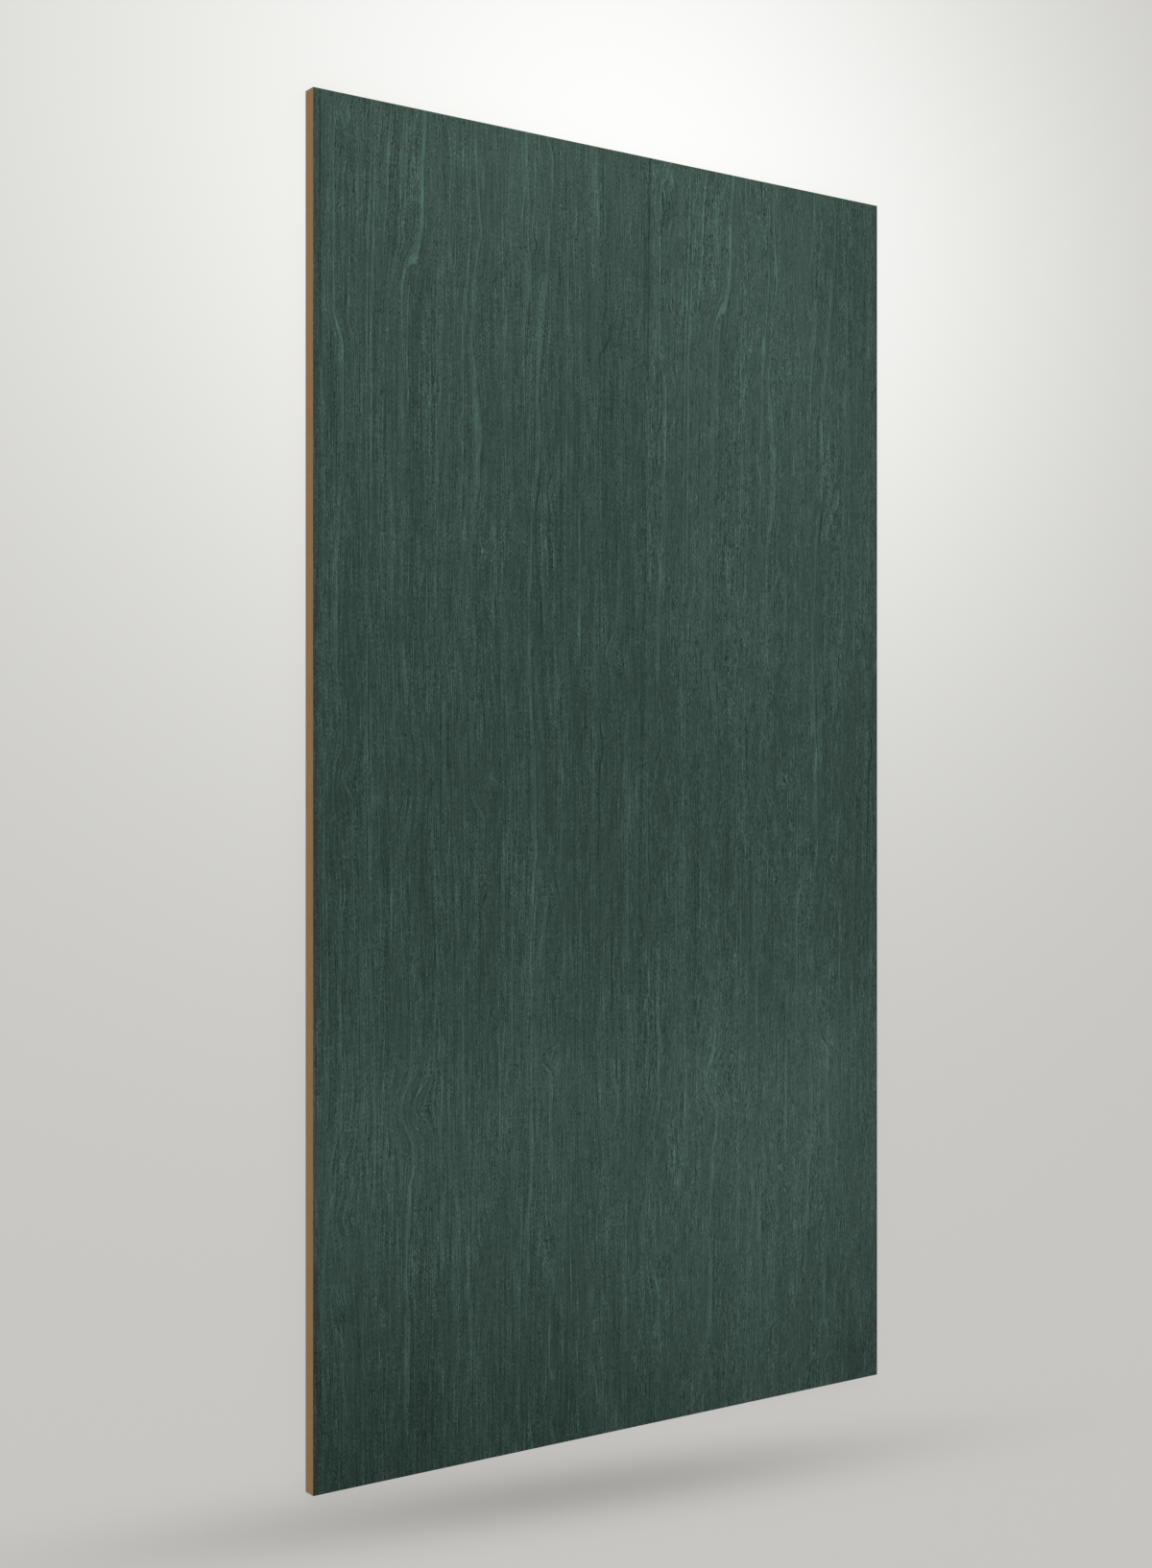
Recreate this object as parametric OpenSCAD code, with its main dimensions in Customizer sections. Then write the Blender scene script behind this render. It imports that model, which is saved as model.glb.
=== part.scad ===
// Veneered board: dyed wood veneer pressed on a fibreboard core, with a plain
// veneer on the back that keeps the board flat.
// The sheet lies face up. X runs across the grain, Y along it, Z through the board.
// The origin is at the centre of the underside.

/* [Sheet] */
// Width of the sheet, across the grain
sheet_width = 1220; // [300:10:1530]
// Length of the sheet, along the grain
sheet_length = 2250; // [600:10:3660]

/* [Core] */
// Thickness of the fibreboard core
core_thickness = 25; // [6:1:38]

/* [Veneers] */
// Thickness of the dyed veneer on the show face
face_thickness = 0.6; // [0.4:0.1:3]
// Thickness of the plain veneer on the back
backing_thickness = 0.6; // [0.4:0.1:3]

/* [Hidden] */

// The layers stack up from the floor: backing, core, face.
core_z = backing_thickness;
face_z = core_z + core_thickness;

// One flat layer over the whole sheet, with its underside at height z.
module layer(z, thickness) {
    translate([-sheet_width / 2, -sheet_length / 2, z])
        cube([sheet_width, sheet_length, thickness]);
}

// Medium density fibreboard, sawn square and left bare at its four edges.
module core_board() {
    color("#8a6c4a")
        layer(core_z, core_thickness);
}

// Green dyed veneer, glued over the whole show face and trimmed flush.
module face_veneer() {
    color("#394b45")
        layer(face_z, face_thickness);
}

// Undyed veneer, glued over the whole back and trimmed flush.
module backing_veneer() {
    color("#a88a64")
        layer(0, backing_thickness);
}

core_board();
face_veneer();
backing_veneer();
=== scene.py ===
# A veneered board lying flat with its dyed face up. Metres, unless a name or note says mm.
import math

import bpy
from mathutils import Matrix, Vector


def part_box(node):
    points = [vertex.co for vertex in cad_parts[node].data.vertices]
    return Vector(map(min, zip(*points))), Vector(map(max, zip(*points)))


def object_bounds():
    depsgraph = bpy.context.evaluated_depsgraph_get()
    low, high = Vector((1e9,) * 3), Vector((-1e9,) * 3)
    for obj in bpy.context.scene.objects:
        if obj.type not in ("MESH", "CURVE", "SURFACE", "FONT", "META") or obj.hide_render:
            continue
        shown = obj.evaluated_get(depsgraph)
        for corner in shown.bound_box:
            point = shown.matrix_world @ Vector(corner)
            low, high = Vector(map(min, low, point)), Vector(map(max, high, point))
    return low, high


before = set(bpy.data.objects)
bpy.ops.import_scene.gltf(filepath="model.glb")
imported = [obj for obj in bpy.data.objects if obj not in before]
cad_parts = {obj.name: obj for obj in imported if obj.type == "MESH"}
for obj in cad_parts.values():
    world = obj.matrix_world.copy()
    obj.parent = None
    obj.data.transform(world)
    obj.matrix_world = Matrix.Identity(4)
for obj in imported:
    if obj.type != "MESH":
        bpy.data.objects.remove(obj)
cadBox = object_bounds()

mmPerMetre = 1000
print("board loaded, with its pieces", ", ".join(sorted(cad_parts)))


# Helpers that make shader nodes. An input is a value or another node's socket.

def addNode(tree, kind, inputs=None, **settings):
    node = tree.nodes.new("ShaderNode" + kind)
    for name, value in settings.items():
        setattr(node, name, value)
    for key, value in (inputs or {}).items():
        socket = node.inputs[key]
        if isinstance(value, bpy.types.NodeSocket):
            tree.links.new(value, socket)
        else:
            socket.default_value = value
    return node


def calc(tree, operation, *values):
    return addNode(tree, "Math", dict(enumerate(values)), operation=operation).outputs[0]


def vectorCalc(tree, operation, *values):
    node = addNode(tree, "VectorMath", dict(enumerate(values)), operation=operation)
    return node.outputs["Value" if operation == "DOT_PRODUCT" else "Vector"]


def joinPlace(tree, x, y, z=0.0):
    return addNode(tree, "CombineXYZ", {0: x, 1: y, 2: z}).outputs[0]


def remap(tree, value, fromLow, fromHigh, toLow=0.0, toHigh=1.0):
    # stretches one range over another, and holds what lies past its ends
    inputs = {0: value, 1: fromLow, 2: fromHigh, 3: toLow, 4: toHigh}
    return addNode(tree, "MapRange", inputs, clamp=True).outputs[0]


def curveOf(tree, value, points, low, high):
    # a curve through given points of (place 0 to 1, height), with heights from low to high
    node = addNode(tree, "FloatCurve", {"Factor": 1.0, "Value": value})
    curve = node.mapping.curves[0]
    while len(curve.points) < len(points):
        curve.points.new(0.5, 0.5)
    for spot, (place, height) in zip(curve.points, points):
        spot.location = (place, (height - low) / (high - low))
        spot.handle_type = "AUTO_CLAMPED"
    node.mapping.extend = "HORIZONTAL"
    node.mapping.update()
    return calc(tree, "MULTIPLY_ADD", node.outputs[0], high - low, low)


def rampOf(tree, value, tones):
    # evenly spaced tones over values from 0 to 1
    node = addNode(tree, "ValToRGB", {0: value})
    stops = node.color_ramp.elements
    while len(stops) < len(tones):
        stops.new(0.5)
    for order, tone in enumerate(tones):
        stops[order].position = order / (len(tones) - 1)
        stops[order].color = tone
    return node.outputs[0]


def mixColour(tree, share, first, second, blend="MIX"):
    inputs = {0: share, 6: first, 7: second}
    return addNode(tree, "Mix", inputs, data_type="RGBA", blend_type=blend).outputs[2]


def softPatch(tree, place, centre, reach, turn=0):
    # 1 at the centre, fading to 0 past the reach; the turn is in degrees
    offset = vectorCalc(tree, "SUBTRACT", place, (*centre, 0))
    if turn:
        inputs = {"Vector": offset, "Angle": -math.radians(turn)}
        offset = addNode(tree, "VectorRotate", inputs, rotation_type="Z_AXIS").outputs[0]
    scaled = vectorCalc(tree, "DIVIDE", offset, (*reach, 1))
    squared = vectorCalc(tree, "DOT_PRODUCT", scaled, scaled)
    return calc(tree, "EXPONENT", calc(tree, "MULTIPLY", squared, -1.0))


def smoothNoise(tree, x, y, z, detail, roughness=0.5):
    # runs from about -0.5 to 0.5, with one wave to each whole step
    inputs = {"Vector": joinPlace(tree, x, y, z), "Scale": 1.0, "Detail": detail, "Roughness": roughness}
    noise = addNode(tree, "TexNoise", inputs, noise_dimensions="3D")
    return calc(tree, "SUBTRACT", noise.outputs[0], 0.5)


def freshMaterial(name):
    material = bpy.data.materials.new(name)
    material.use_nodes = True
    material.node_tree.nodes.clear()
    return material, material.node_tree


def finishWith(tree, shader):
    addNode(tree, "OutputMaterial", {"Surface": shader.outputs[0]})


def woodSurface(tree, tone, piece, relief=None):
    # the piece's own roughness and gloss, and its fine relief if it has one
    inputs = {"Base Color": tone, "Roughness": piece["roughness"], "Specular IOR Level": piece["gloss"]}
    if relief is not None:
        bump = {"Strength": piece["reliefStrength"], "Distance": piece["reliefDepth"], "Height": relief}
        inputs["Normal"] = addNode(tree, "Bump", bump).outputs["Normal"]
    finishWith(tree, addNode(tree, "BsdfPrincipled", inputs))


def srgb(red, green, blue):
    def linear(level):
        share = level / 255
        return share / 12.92 if share <= 0.04045 else ((share + 0.055) / 1.055) ** 2.4
    return (linear(red), linear(green), linear(blue), 1)


# The camera looks down on the left long edge, square to the board's length.
cameraView = {
    "lens": 48.9,          # mm
    "sensor": 36,          # mm
    "turn": 35.06,         # degrees off straight down, towards the board's right edge
    "left": 2.220,         # how far left of the board's middle
    "up": 0.012,           # how far towards the head
    "above": 3.024,        # height above the dyed face
}


def placeCamera(faceTop):
    camera = bpy.data.cameras.new("camera")
    camera.lens = cameraView["lens"]
    camera.sensor_width = cameraView["sensor"]
    holder = bpy.data.objects.new("camera", camera)
    holder.location = (-cameraView["left"], cameraView["up"], faceTop + cameraView["above"])
    holder.rotation_euler = (0, -math.radians(cameraView["turn"]), 0)
    bpy.context.scene.collection.objects.link(holder)
    bpy.context.scene.camera = holder
    print("camera in place")


# A wide pale floor with a painted pool of light round the head and a painted shadow past the board's foot,
# even air and one soft lamp.
studio = {
    "floorSize": 60,
    "floorDrop": 0.0005,                # below the board's back, so that the two never fight
    "floorTone": srgb(200, 199, 195),
    "glowTone": srgb(254, 254, 252),    # painted pool of light: the floor painted brighter round the head
    "glowCentre": (0.05, 1.09),
    "glowReach": (1.19, 0.99),
    "paintedShadowTone": (0, 0, 0, 1),           # painted shadow: a soft dark patch painted on the floor past the board's foot
    "paintedShadowCentre": (-0.12, -1.22),
    "paintedShadowTurn": -4.5,                   # degrees
    "paintedShadowReach": (0.76, 0.052),
    "paintedShadowDepth": 0.34,                  # how much darker the painted shadow makes the floor at its middle
    "plainShare": 0.85,                 # how much of its own tone the camera sees, lit or not
    "airTone": (1, 1, 1, 1),
    "airStrength": 0.82,
    "keyPlace": (-2.2, 3.2, 3.6),
    "keyAim": (0, 0, 0),
    "keySize": 2.4,
    "keyPower": 60,                     # watts
}


def floorTone(tree):
    place = addNode(tree, "TexCoord").outputs["Object"]
    # painted pool of light: the floor painted brighter round the head
    glow = softPatch(tree, place, studio["glowCentre"], studio["glowReach"])
    # painted shadow: a soft dark patch painted on the floor past the board's foot
    paintedShadow = softPatch(tree, place, studio["paintedShadowCentre"], studio["paintedShadowReach"], studio["paintedShadowTurn"])
    paintedShadow = calc(tree, "MULTIPLY", paintedShadow, studio["paintedShadowDepth"])
    tone = mixColour(tree, glow, studio["floorTone"], studio["glowTone"])
    return mixColour(tree, paintedShadow, tone, studio["paintedShadowTone"])


def floorMaterial():
    material, tree = freshMaterial("pale floor")
    tone = floorTone(tree)
    lit = addNode(tree, "BsdfDiffuse", {"Color": tone})
    unlit = addNode(tree, "Emission", {"Color": tone, "Strength": 1.0})
    rays = addNode(tree, "LightPath").outputs
    seen = calc(tree, "MAXIMUM", rays["Is Camera Ray"], rays["Is Glossy Ray"])
    seen = calc(tree, "MAXIMUM", seen, rays["Is Transmission Ray"])
    plain = calc(tree, "MULTIPLY", seen, studio["plainShare"])
    top = addNode(tree, "MixShader", {0: plain, 1: lit.outputs[0], 2: unlit.outputs[0]})
    # from below the floor is clear, so that the board's back can be seen
    clear = addNode(tree, "BsdfTransparent")
    behind = addNode(tree, "NewGeometry").outputs["Backfacing"]
    both = addNode(tree, "MixShader", {0: behind, 1: top.outputs[0], 2: clear.outputs[0]})
    finishWith(tree, both)
    return material


def layFloor():
    half = studio["floorSize"] / 2
    mesh = bpy.data.meshes.new("floor")
    corners = [(-half, -half, 0), (half, -half, 0), (half, half, 0), (-half, half, 0)]
    mesh.from_pydata(corners, [], [(0, 1, 2, 3)])
    mesh.materials.append(floorMaterial())
    floor = bpy.data.objects.new("floor", mesh)
    floor.location.z = cadBox[0].z - studio["floorDrop"]
    floor.visible_shadow = False
    floor.visible_diffuse = False
    bpy.context.scene.collection.objects.link(floor)
    print("floor laid")


def lightStudio():
    world = bpy.data.worlds.new("studio air")
    world.use_nodes = True
    air = world.node_tree.nodes["Background"].inputs
    air["Color"].default_value = studio["airTone"]
    air["Strength"].default_value = studio["airStrength"]
    bpy.context.scene.world = world

    lamp = bpy.data.lights.new("key lamp", "AREA")
    lamp.size = studio["keySize"]
    lamp.energy = studio["keyPower"]
    holder = bpy.data.objects.new("key lamp", lamp)
    holder.location = studio["keyPlace"]
    aim = Vector(studio["keyAim"]) - holder.location
    holder.rotation_euler = aim.to_track_quat("-Z", "Y").to_euler()
    bpy.context.scene.collection.objects.link(holder)
    print("air and key lamp lit")


# Dyed face veneer: sister leaves laid side by side, cut one after the other from the same log,
# so that the figure of one leaf comes back in the next.
faceVeneer = {
    "leafWidth": 660.6,          # mm; the sheet is one leaf and most of its sister
    "leafLean": 24.3,            # mm by which the joint between them leans to the left at the foot
    "leafSqueeze": 0.978,        # the sister leaf is a little narrower
    "sisterSeed": 3.7,           # sets its short fibres apart
    "tones": [                   # from the darkest pore to the palest streak
        srgb(8, 28, 20),
        srgb(28.2, 49, 42.4),
        srgb(52.3, 73, 66.5),
        srgb(72.3, 97, 88.6),
        srgb(90.3, 121, 110.6),
    ],
    "middleTone": 0.42,          # where the mean falls among them, from 0 to 1
    "yellower": (0.89, 1.0, 0.94, 1.0),
    "yellowRange": (0.35, 1.05),  # how pale a streak is where that tint begins and where it is full
    "roughness": 0.62,
    "gloss": 0.15,
    "relief": (1.0, 20),         # mm across, mm along
    "reliefDepth": 0.0004,
    "reliefStrength": 0.5,

    "wander": (60, 400, 5),      # mm across, mm along, mm of drift
    "layers": [                  # grain from broad to fine: mm across, mm along, detail, strength
        (45, 900, 2, 0.17),
        (14, 600, 2, 0.08),
        (5.0, 500, 1, 0.06),
        (1.7, 900, 1, 0.26),
        (1.0, 300, 1, 0.41),
        (0.9, 45, 0, 0.50),
        (0.75, 4.5, 0, 0.74),
    ],
    "layerSeed": 11.3,           # from one layer to the next
    "longGrain": 400,            # mm; layers at least this long are the same in both leaves
    "pores": (0.9, 16),          # mm across, mm along
    "poreRange": (0.09, 0.23),
    "poreStrength": 0.38,
    "poreBalance": 0.07,         # what the pores take from the mean tone
    "patches": [(50, 200, 1.0), (9, 40, 1.3)],   # mm across, mm along, how uneven the fibres are
    "patchSeed": 5.0,

    # cloudy take-up of the dye mixed with painted light and shade (a paler head, a darker foot, darker
    # sides),
    # and how much paler: share of the length from the head, share of the width from the left, and the
    # corner at the left of the foot
    # along the length: partly the dye, partly painted light at the head and painted shade at the foot
    "dyeAndPaintedLightAlong": [(0, 0.07), (0.12, 0.05), (0.3, 0), (0.55, -0.06), (0.65, -0.03), (0.75, 0.04),
              (0.85, 0.01), (1, -0.12)],
    # across the width: partly the dye, partly painted shade, darker at both long sides
    "dyeAndPaintedShadeAcross": [(0, -0.045), (0.1, -0.03), (0.4, -0.03), (0.5, -0.015), (0.6, 0.02), (0.7, 0.04),
                  (0.88, 0.04), (0.95, 0.01), (1, -0.03)],
    "dyeAndPaintedLightLimit": 0.3,           # the dye cloud and painted light and shade are never paler or darker than this
    # painted shade: how much darker the corner at the left of the foot is painted
    "paintedCornerShade": -0.09,
    "cornerStart": 0.78,         # share of the length
    "cornerWidth": 0.5,          # share of the width
    # smaller patches in mm, partly uneven dye and partly painted shade at the corners and the foot: across,
    # along, half width, half length, and how much paler
    "dyeAndPaintedShadePatches": [
        (370, 40, 170, 140, 0.055), (1190, 110, 120, 190, -0.075), (990, 10, 150, 80, -0.035),
        (190, 2060, 140, 170, -0.05), (1110, 1330, 80, 240, -0.05), (1210, 2200, 70, 80, -0.05),
        (660, 2180, 80, 70, -0.045), (560, 520, 60, 130, -0.035), (200, 1120, 230, 190, 0.028),
        (1000, 760, 60, 60, -0.015), (390, 1330, 60, 120, 0.025), (950, 640, 60, 90, -0.03),
    ],

    # Grain lines of one leaf, in mm: where a line runs across the leaf, then how far it drifts
    # sideways at places along the sheet, counted from the head.
    "driftLimit": 30,            # mm; no line drifts further
    "grainLines": [
        (0, [(0, 0)]),
        (42, [(0, 0), (60, -5), (330, -5), (400, 11), (540, 10), (900, 3), (1020, 9), (1100, -3), (1380, 8),
              (1600, 12), (1750, -10), (1950, -8), (2030, 8), (2250, 10)]),
        (103, [(0, 3), (600, -3), (1000, -2), (1700, 5), (2000, -3), (2250, 1)]),
        (136, [(0, 7), (230, -6), (600, -6), (1500, 9), (1650, -2), (2250, 5)]),
        (180, [(0, 22), (200, 18), (262, -8), (330, -13), (800, -14), (1000, -8), (1120, 8), (1200, -6),
               (1560, 2), (1650, -16), (1720, 3), (1850, -4), (2250, -10)]),
        (231, [(0, -9), (200, 1), (1000, -3), (1500, 7), (1650, 6), (2250, 6)]),
        (284, [(0, 10), (220, 8), (320, -1), (640, -3), (740, -8), (1000, -2), (1700, 4), (2250, 1)]),
        (308, [(0, -2), (190, 6), (290, -10), (500, 6), (610, 4), (720, -8), (1110, -4), (1180, 12),
               (1300, 2), (1850, 4), (2250, -1)]),
        (353, [(0, -8), (800, -3), (1000, 2), (2250, 4)]),
        (410, [(0, -2), (170, -9), (260, 2), (430, -7), (850, 2), (1000, 8), (1230, 17), (1400, 9),
               (1750, 8), (1950, 0), (2250, -2)]),
        (445, [(0, -3), (240, 3), (420, -8), (560, -11), (1100, 2), (1330, 6), (1580, -5), (1650, 12),
               (2250, 9)]),
        (480, [(0, -10), (110, -10), (600, 10), (1300, 3), (2050, 0), (2250, -4)]),
        (530, [(0, 0), (600, -3), (1500, -7), (2250, 5)]),
        (670, [(0, 0)]),
    ],

    # Knots and swirls of one leaf, in mm: across, along, half width, half length, how far they
    # push the grain aside, and how much paler (or darker, below 0) the wood is there.
    "knotStrength": 0.26,
    "knotEdge": (0.15, 0.8),     # where a knot's tone begins and where it is full
    "knots": [
        (4, 1100, 9, 1000, 0, -0.2), (55, 24, 17, 15, 7, 0.2), (63, 36, 5, 12, 0, 0.4),
        (58, 76, 18, 22, -7, -0.15), (48, 95, 5, 24, 0, -0.2), (66, 98, 14, 22, -6, -0.15),
        (62, 372, 12, 26, 6, -0.1), (60, 1108, 14, 22, 13, 0.1), (61, 1161, 9, 2.5, 3, -0.25),
        (50, 1332, 11, 22, 9, 0.25), (52, 1812, 17, 30, 15, -0.1), (60, 1970, 20, 22, -9, -0.25),
        (187, 249, 10, 9, 9, 0.4), (192, 322, 13, 20, 7, 0), (195, 366, 15, 52, 2, -0.2),
        (190, 590, 14, 170, 0, -0.2), (192, 378, 3, 9, 0, -0.1), (190, 784, 11, 4, 4, -0.25),
        (183, 832, 5, 9, 3, -0.1), (178, 1368, 6, 9, 4, -0.05), (165, 1290, 5, 14, 3, 0),
        (196, 1648, 25, 32, 19, -0.1), (212, 2112, 5, 16, -4, 0), (342, 268, 7, 16, 4, -0.4),
        (328, 722, 11, 14, -9, 0.3), (329, 834, 8, 8, 6, -0.05), (212, 1648, 14, 24, 0, -0.1),
        (336, 1102, 14, 19, 14, 0.3), (334, 1288, 14, 22, -12, 0.1), (355, 1420, 10, 20, -8, 0.2),
        (340, 1540, 9, 30, 6, -0.15), (336, 1742, 11, 56, 4, -0.05), (334, 1824, 14, 14, 11, 0.25),
        (325, 1905, 14, 20, -12, -0.2), (430, 190, 10, 14, -7, -0.2), (455, 606, 15, 30, 9, 0),
        (458, 1258, 14, 22, 12, 0), (466, 1314, 14, 18, -12, 0.05), (468, 1458, 8, 30, 6, -0.1),
        (465, 1462, 3, 18, 0, 0.7), (463, 1440, 7, 3, 0, -0.2), (467, 1560, 11, 8, -8, 0.2),
        (462, 1598, 12, 14, 10, 0), (460, 1905, 14, 34, -10, -0.2), (467, 2052, 8, 50, 3, -0.15),
        (464, 2130, 7, 9, 5, 0.3), (460, 2212, 10, 20, 8, -0.05), (586, 325, 24, 32, 16, -0.1),
        (592, 888, 16, 26, 13, 0.15), (566, 1770, 16, 40, -9, -0.1),
    ],

    "streakStrength": 0.28,
    "streakQuiet": 0.4,          # how much fainter the grain is inside a streak
    "fray": (2, 50, 1.0),        # ragged sides: mm across, mm along, mm of drift
    "breaks": 0.7,               # how broken a streak is by the fibres that cross it
    "fading": 0.6,               # how unevenly it fades along its length
    # the tone across a streak, from its left to its right
    "streakShape": [(0, 0), (0.2, 0.08), (0.27, 0.45), (0.36, 0.75), (0.5, 0.85), (0.64, 1), (0.71, 0.6),
                    (0.77, -0.15), (0.83, -0.33), (0.92, -0.1), (1, 0)],
    "shapeLimits": (-0.5, 1),
    "shapeSpan": 4.0,            # how many half widths it covers
    "streakMiddle": 0.5,         # where the path runs in it
    "widestStreak": 20,          # mm of half width
    # Streaks of one leaf, in mm: along, across, half width, and how pale (or dark, below 0) from
    # -1 to 1
    "streaks": [
        # the long thin line 40 mm in, which steps aside at each knot
        [(0, 47, 8, 0.2), (18, 48, 9, 0.05), (34, 44, 6, 0.5), (45, 39, 2.6, 0.65), (60, 37.5, 2.2, 1),
         (100, 36.5, 2, 0.75), (190, 37, 2, 1), (250, 36.2, 2, 1), (340, 37, 1.9, 0.8),
         (363, 40, 2.2, 0.75), (378, 45, 2.8, 0.8), (393, 49, 3.2, 0.85), (412, 51.5, 4, 0.85),
         (440, 51, 4.2, 0.7), (500, 51, 4, 0.75), (545, 51.5, 4, 0.4), (562, 49, 3.2, 0.4),
         (620, 47, 3.5, 0.35), (680, 45, 4.5, 0.4), (735, 42, 4.5, 0.65), (800, 40, 4.5, 0.5),
         (870, 40.5, 4.5, 0.85), (905, 40, 5, 0.5), (940, 43, 2, 0.4), (975, 47, 2.5, 0.5),
         (1000, 51, 2.5, 0.5), (1048, 51.5, 2.2, 0.6), (1060, 48, 2.2, 0.7), (1072, 43, 2.2, 0.7),
         (1083, 39.5, 2, 0.7), (1105, 38, 2, 0.4), (1130, 38, 2, 0), (1270, 48, 3, 0), (1290, 48, 2.5, 0.6),
         (1305, 49, 2.5, 0.3), (1340, 50, 3, 0.2), (1365, 50, 3, 0.3), (1440, 48, 3.5, 0.4),
         (1500, 48, 3.5, 0.7), (1550, 48, 4, 0.7), (1575, 53, 6, 0.2), (1600, 51, 3, 0.35),
         (1660, 50, 3, 0.65), (1720, 50, 3, 0.1), (1980, 40, 2, 0.1), (1993, 43, 1.8, 0.8),
         (2005, 50, 1.8, 0.9), (2020, 55, 1.8, 0.8), (2032, 55, 3, 0.2), (2060, 53, 4.5, 0.4),
         (2100, 56, 4, 0.4), (2150, 58, 4, 0.1), (2250, 58, 4, 0)],
        # the faint band to its left
        [(0, 26, 7, 0.1), (50, 26, 7, 0.25), (330, 26, 7, 0.28), (400, 22, 7, 0.2), (450, 14, 3, 0.6),
         (470, 14, 2, 0.7), (530, 14, 2, 0.6), (600, 14, 2.5, 0.3), (700, 20, 6, 0.2), (900, 20, 6, 0.1),
         (1150, 19, 1.8, 0.2), (1190, 19, 1.8, 0.7), (1225, 19, 1.8, 1), (1290, 23, 4, 0.3),
         (1370, 25, 2, 0.3), (1410, 26, 1.6, 0.6), (1480, 26, 1.6, 0.2), (1510, 26, 2, 0.1),
         (1790, 25, 1.6, 0.1), (1820, 25, 1.6, 0.7), (1850, 22, 3, 0.4), (1950, 18, 4.5, 0.4),
         (2000, 18, 4, 0.3), (2100, 18, 4, 0.1), (2250, 18, 4, 0)],
        # the thin line 100 mm in
        [(0, 106, 1.5, 0.5), (110, 105, 1.5, 0.85), (145, 104, 1.6, 0.5), (190, 101.5, 1.8, 0.8),
         (235, 100, 1.8, 0.8), (330, 98, 1.8, 0.9), (400, 97.5, 1.6, 1), (550, 97.3, 1.5, 0.5),
         (680, 97.5, 1.6, 0.6), (750, 98, 1.8, 0.5), (880, 98, 1.8, 0.4), (940, 97, 1.6, 0.5),
         (970, 97, 2, 0.4), (1030, 97.5, 2, 0.45), (1100, 99, 1.8, 0.5), (1160, 101, 1.6, 0.4),
         (1195, 101.7, 1.6, 0.7), (1230, 102, 1.6, 0.4), (1350, 104, 2, 0.4), (1400, 104, 2, 0.2),
         (1560, 110, 2.5, 0.1), (1600, 112, 3, 0.1), (1670, 113, 3, 0.5), (1750, 112, 2.5, 0.2),
         (1870, 92, 2, 0.2), (1975, 90, 2, 0.2), (2000, 90, 2.2, 0.6), (2040, 91, 2, 0.7), (2100, 92, 2, 0),
         (2250, 92, 2, 0)],
        # its twin, and a broad faint patch near the foot
        [(0, 113, 2, 0), (120, 112.5, 2, 0.3), (200, 111, 2, 0.4), (240, 110, 2, 0.9), (278, 108, 3, 0.75),
         (305, 108, 3.5, 0.5), (320, 105.5, 2, 0.6), (400, 105, 2, 0.7), (450, 105.7, 2.2, 0.8),
         (480, 105.3, 2.8, 0.75), (600, 105, 2.5, 0.6), (660, 105, 2.2, 0.6), (760, 105, 1.8, 0.2),
         (950, 104, 1.6, 0.1), (980, 104, 1.8, 0.7), (1015, 104, 1.8, 0.8), (1060, 105.5, 1.6, 0.5),
         (1110, 106, 1.6, 0.3), (1150, 106, 1.6, 0), (1840, 78, 5, 0), (1890, 67, 15, 0.15),
         (1925, 66, 15, 0.15), (1950, 66, 13, 0.1), (1962, 66, 12, 0), (2250, 66, 12, 0)],
        # the line 140 mm in, broad and soft past 600 mm
        [(0, 143, 1.6, 0.4), (20, 142.5, 1.8, 0.5), (45, 140, 2, 0.7), (77, 137.5, 2.3, 0.65),
         (110, 136.5, 2.2, 0.6), (135, 136.5, 1.8, 0.7), (160, 134.3, 1.6, 0.7), (190, 132, 1.8, 0.95),
         (215, 129.3, 2.6, 0.6), (235, 128, 2, 0.3), (260, 128, 2, 0), (470, 132, 1.5, 0),
         (485, 132, 1.5, -0.6), (540, 132, 1.5, -0.5), (560, 134, 3, 0), (640, 142, 10, 0.05),
         (720, 145, 10, 0.2), (780, 146, 9, 0.25), (860, 147, 5, 0.1), (920, 147, 2, 0.5),
         (950, 147, 2, 0.4), (1000, 148, 1.8, 0.2), (1028, 148, 1.6, 0.3), (1045, 148, 1.6, 0.1),
         (1200, 143, 3, 0.1), (1260, 143, 3, 0.5), (1330, 143.5, 2.5, 0.8), (1370, 142, 2.5, 0.6),
         (1400, 142, 3, 0.2), (1750, 146, 3, 0.1), (1810, 145, 3.5, 0.3), (1840, 145, 3, 0.3),
         (1900, 140, 3, 0.15), (2250, 140, 3, 0)],
        # the soft band beside the first hook
        [(0, 195, 3, 0.1), (28, 186, 4, 0.5), (50, 174, 8, 0.2), (75, 167.5, 7.5, 0.35),
         (110, 168, 7, 0.45), (160, 167, 8, 0.2), (190, 163, 9, 0.1), (212, 161, 9, 0.05), (235, 160, 8, 0),
         (420, 161, 5, 0.1), (470, 163, 4, 0.55), (540, 162, 5, 0.2), (680, 163, 5, 0.2),
         (750, 162, 4, 0.3), (880, 163, 5, 0.2), (905, 165, 5, 0.35), (940, 169, 6.5, 0.45),
         (962, 171, 6, 0.35), (985, 174, 5, 0.2), (1100, 176, 8, 0.1), (1155, 176, 9, 0.15),
         (1185, 172, 8, 0.3), (1230, 166, 5, 0.2), (1275, 162, 2, 0.3), (1300, 162, 2, 0.4),
         (1318, 162, 2, 0.1), (1440, 168, 6, 0.1), (1475, 169, 6, 0.35), (1500, 170, 6, 0),
         (2250, 170, 6, 0)],
        # the bright band that ends in the first hook, and the wave it makes round the knot at 1640 mm
        [(0, 208, 3.5, 0.8), (20, 207.5, 4, 0.8), (50, 204, 4, 0.55), (85, 201.5, 3.6, 0.6),
         (120, 201, 4, 1), (150, 201.5, 3.8, 0.85), (185, 200.5, 4, 0.75), (208, 197, 4.2, 0.9),
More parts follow.
